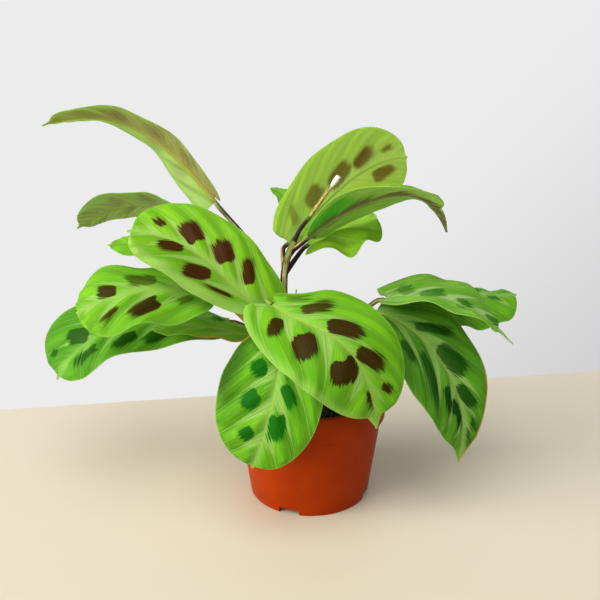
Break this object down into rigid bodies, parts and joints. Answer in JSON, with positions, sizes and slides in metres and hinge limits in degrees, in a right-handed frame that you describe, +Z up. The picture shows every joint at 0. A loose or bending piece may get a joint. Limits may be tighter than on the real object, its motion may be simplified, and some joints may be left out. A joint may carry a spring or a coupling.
{
  "type": "potted prayer plant",
  "caption": "Prayer plant with broad oval blotched leaves on short arching stems, in a small tapered plastic nursery pot with a banded rim and a notched foot.",
  "frame": {"origin": "centre of the pot's base, on the surface that the pot stands on", "axes": "+Z up; +X to the plant's right, along its widest spread; -Y to its front, where the two largest leaves hang over the rim"},
  "size_m": [0.3337, 0.146, 0.2624],
  "materials": {
    "pot_plastic": "satin, injection moulded terracotta-coloured polypropylene",
    "soil": null,
    "stem": null,
    "leaf_bright": null,
    "leaf_deep": null,
    "new_leaf": null
  },
  "bodies": {
    "root": {"pot": "pot_plastic", "soil": "soil", "stem_upright": "stem", "stem_left": "stem", "stem_front": "stem", "stem_right": "stem", "leaf_left_arching": "leaf_bright", "leaf_left_back": "leaf_deep", "leaf_left_upper": "leaf_bright", "leaf_left_hidden": "leaf_bright", "leaf_left_middle": "leaf_bright", "leaf_left_low": "leaf_deep", "leaf_left_inner": "leaf_deep", "leaf_front_large": "leaf_bright", "leaf_front_low": "leaf_bright", "leaf_right_upper": "leaf_deep", "leaf_right_back": "leaf_deep", "leaf_right_drooping": "leaf_deep", "leaf_top_upright": "leaf_bright", "leaf_top_arching": "leaf_deep", "leaf_top_back": "leaf_bright", "leaf_top_behind": "leaf_bright", "new_leaf_rolled": "new_leaf"}
  },
  "joints": []
}
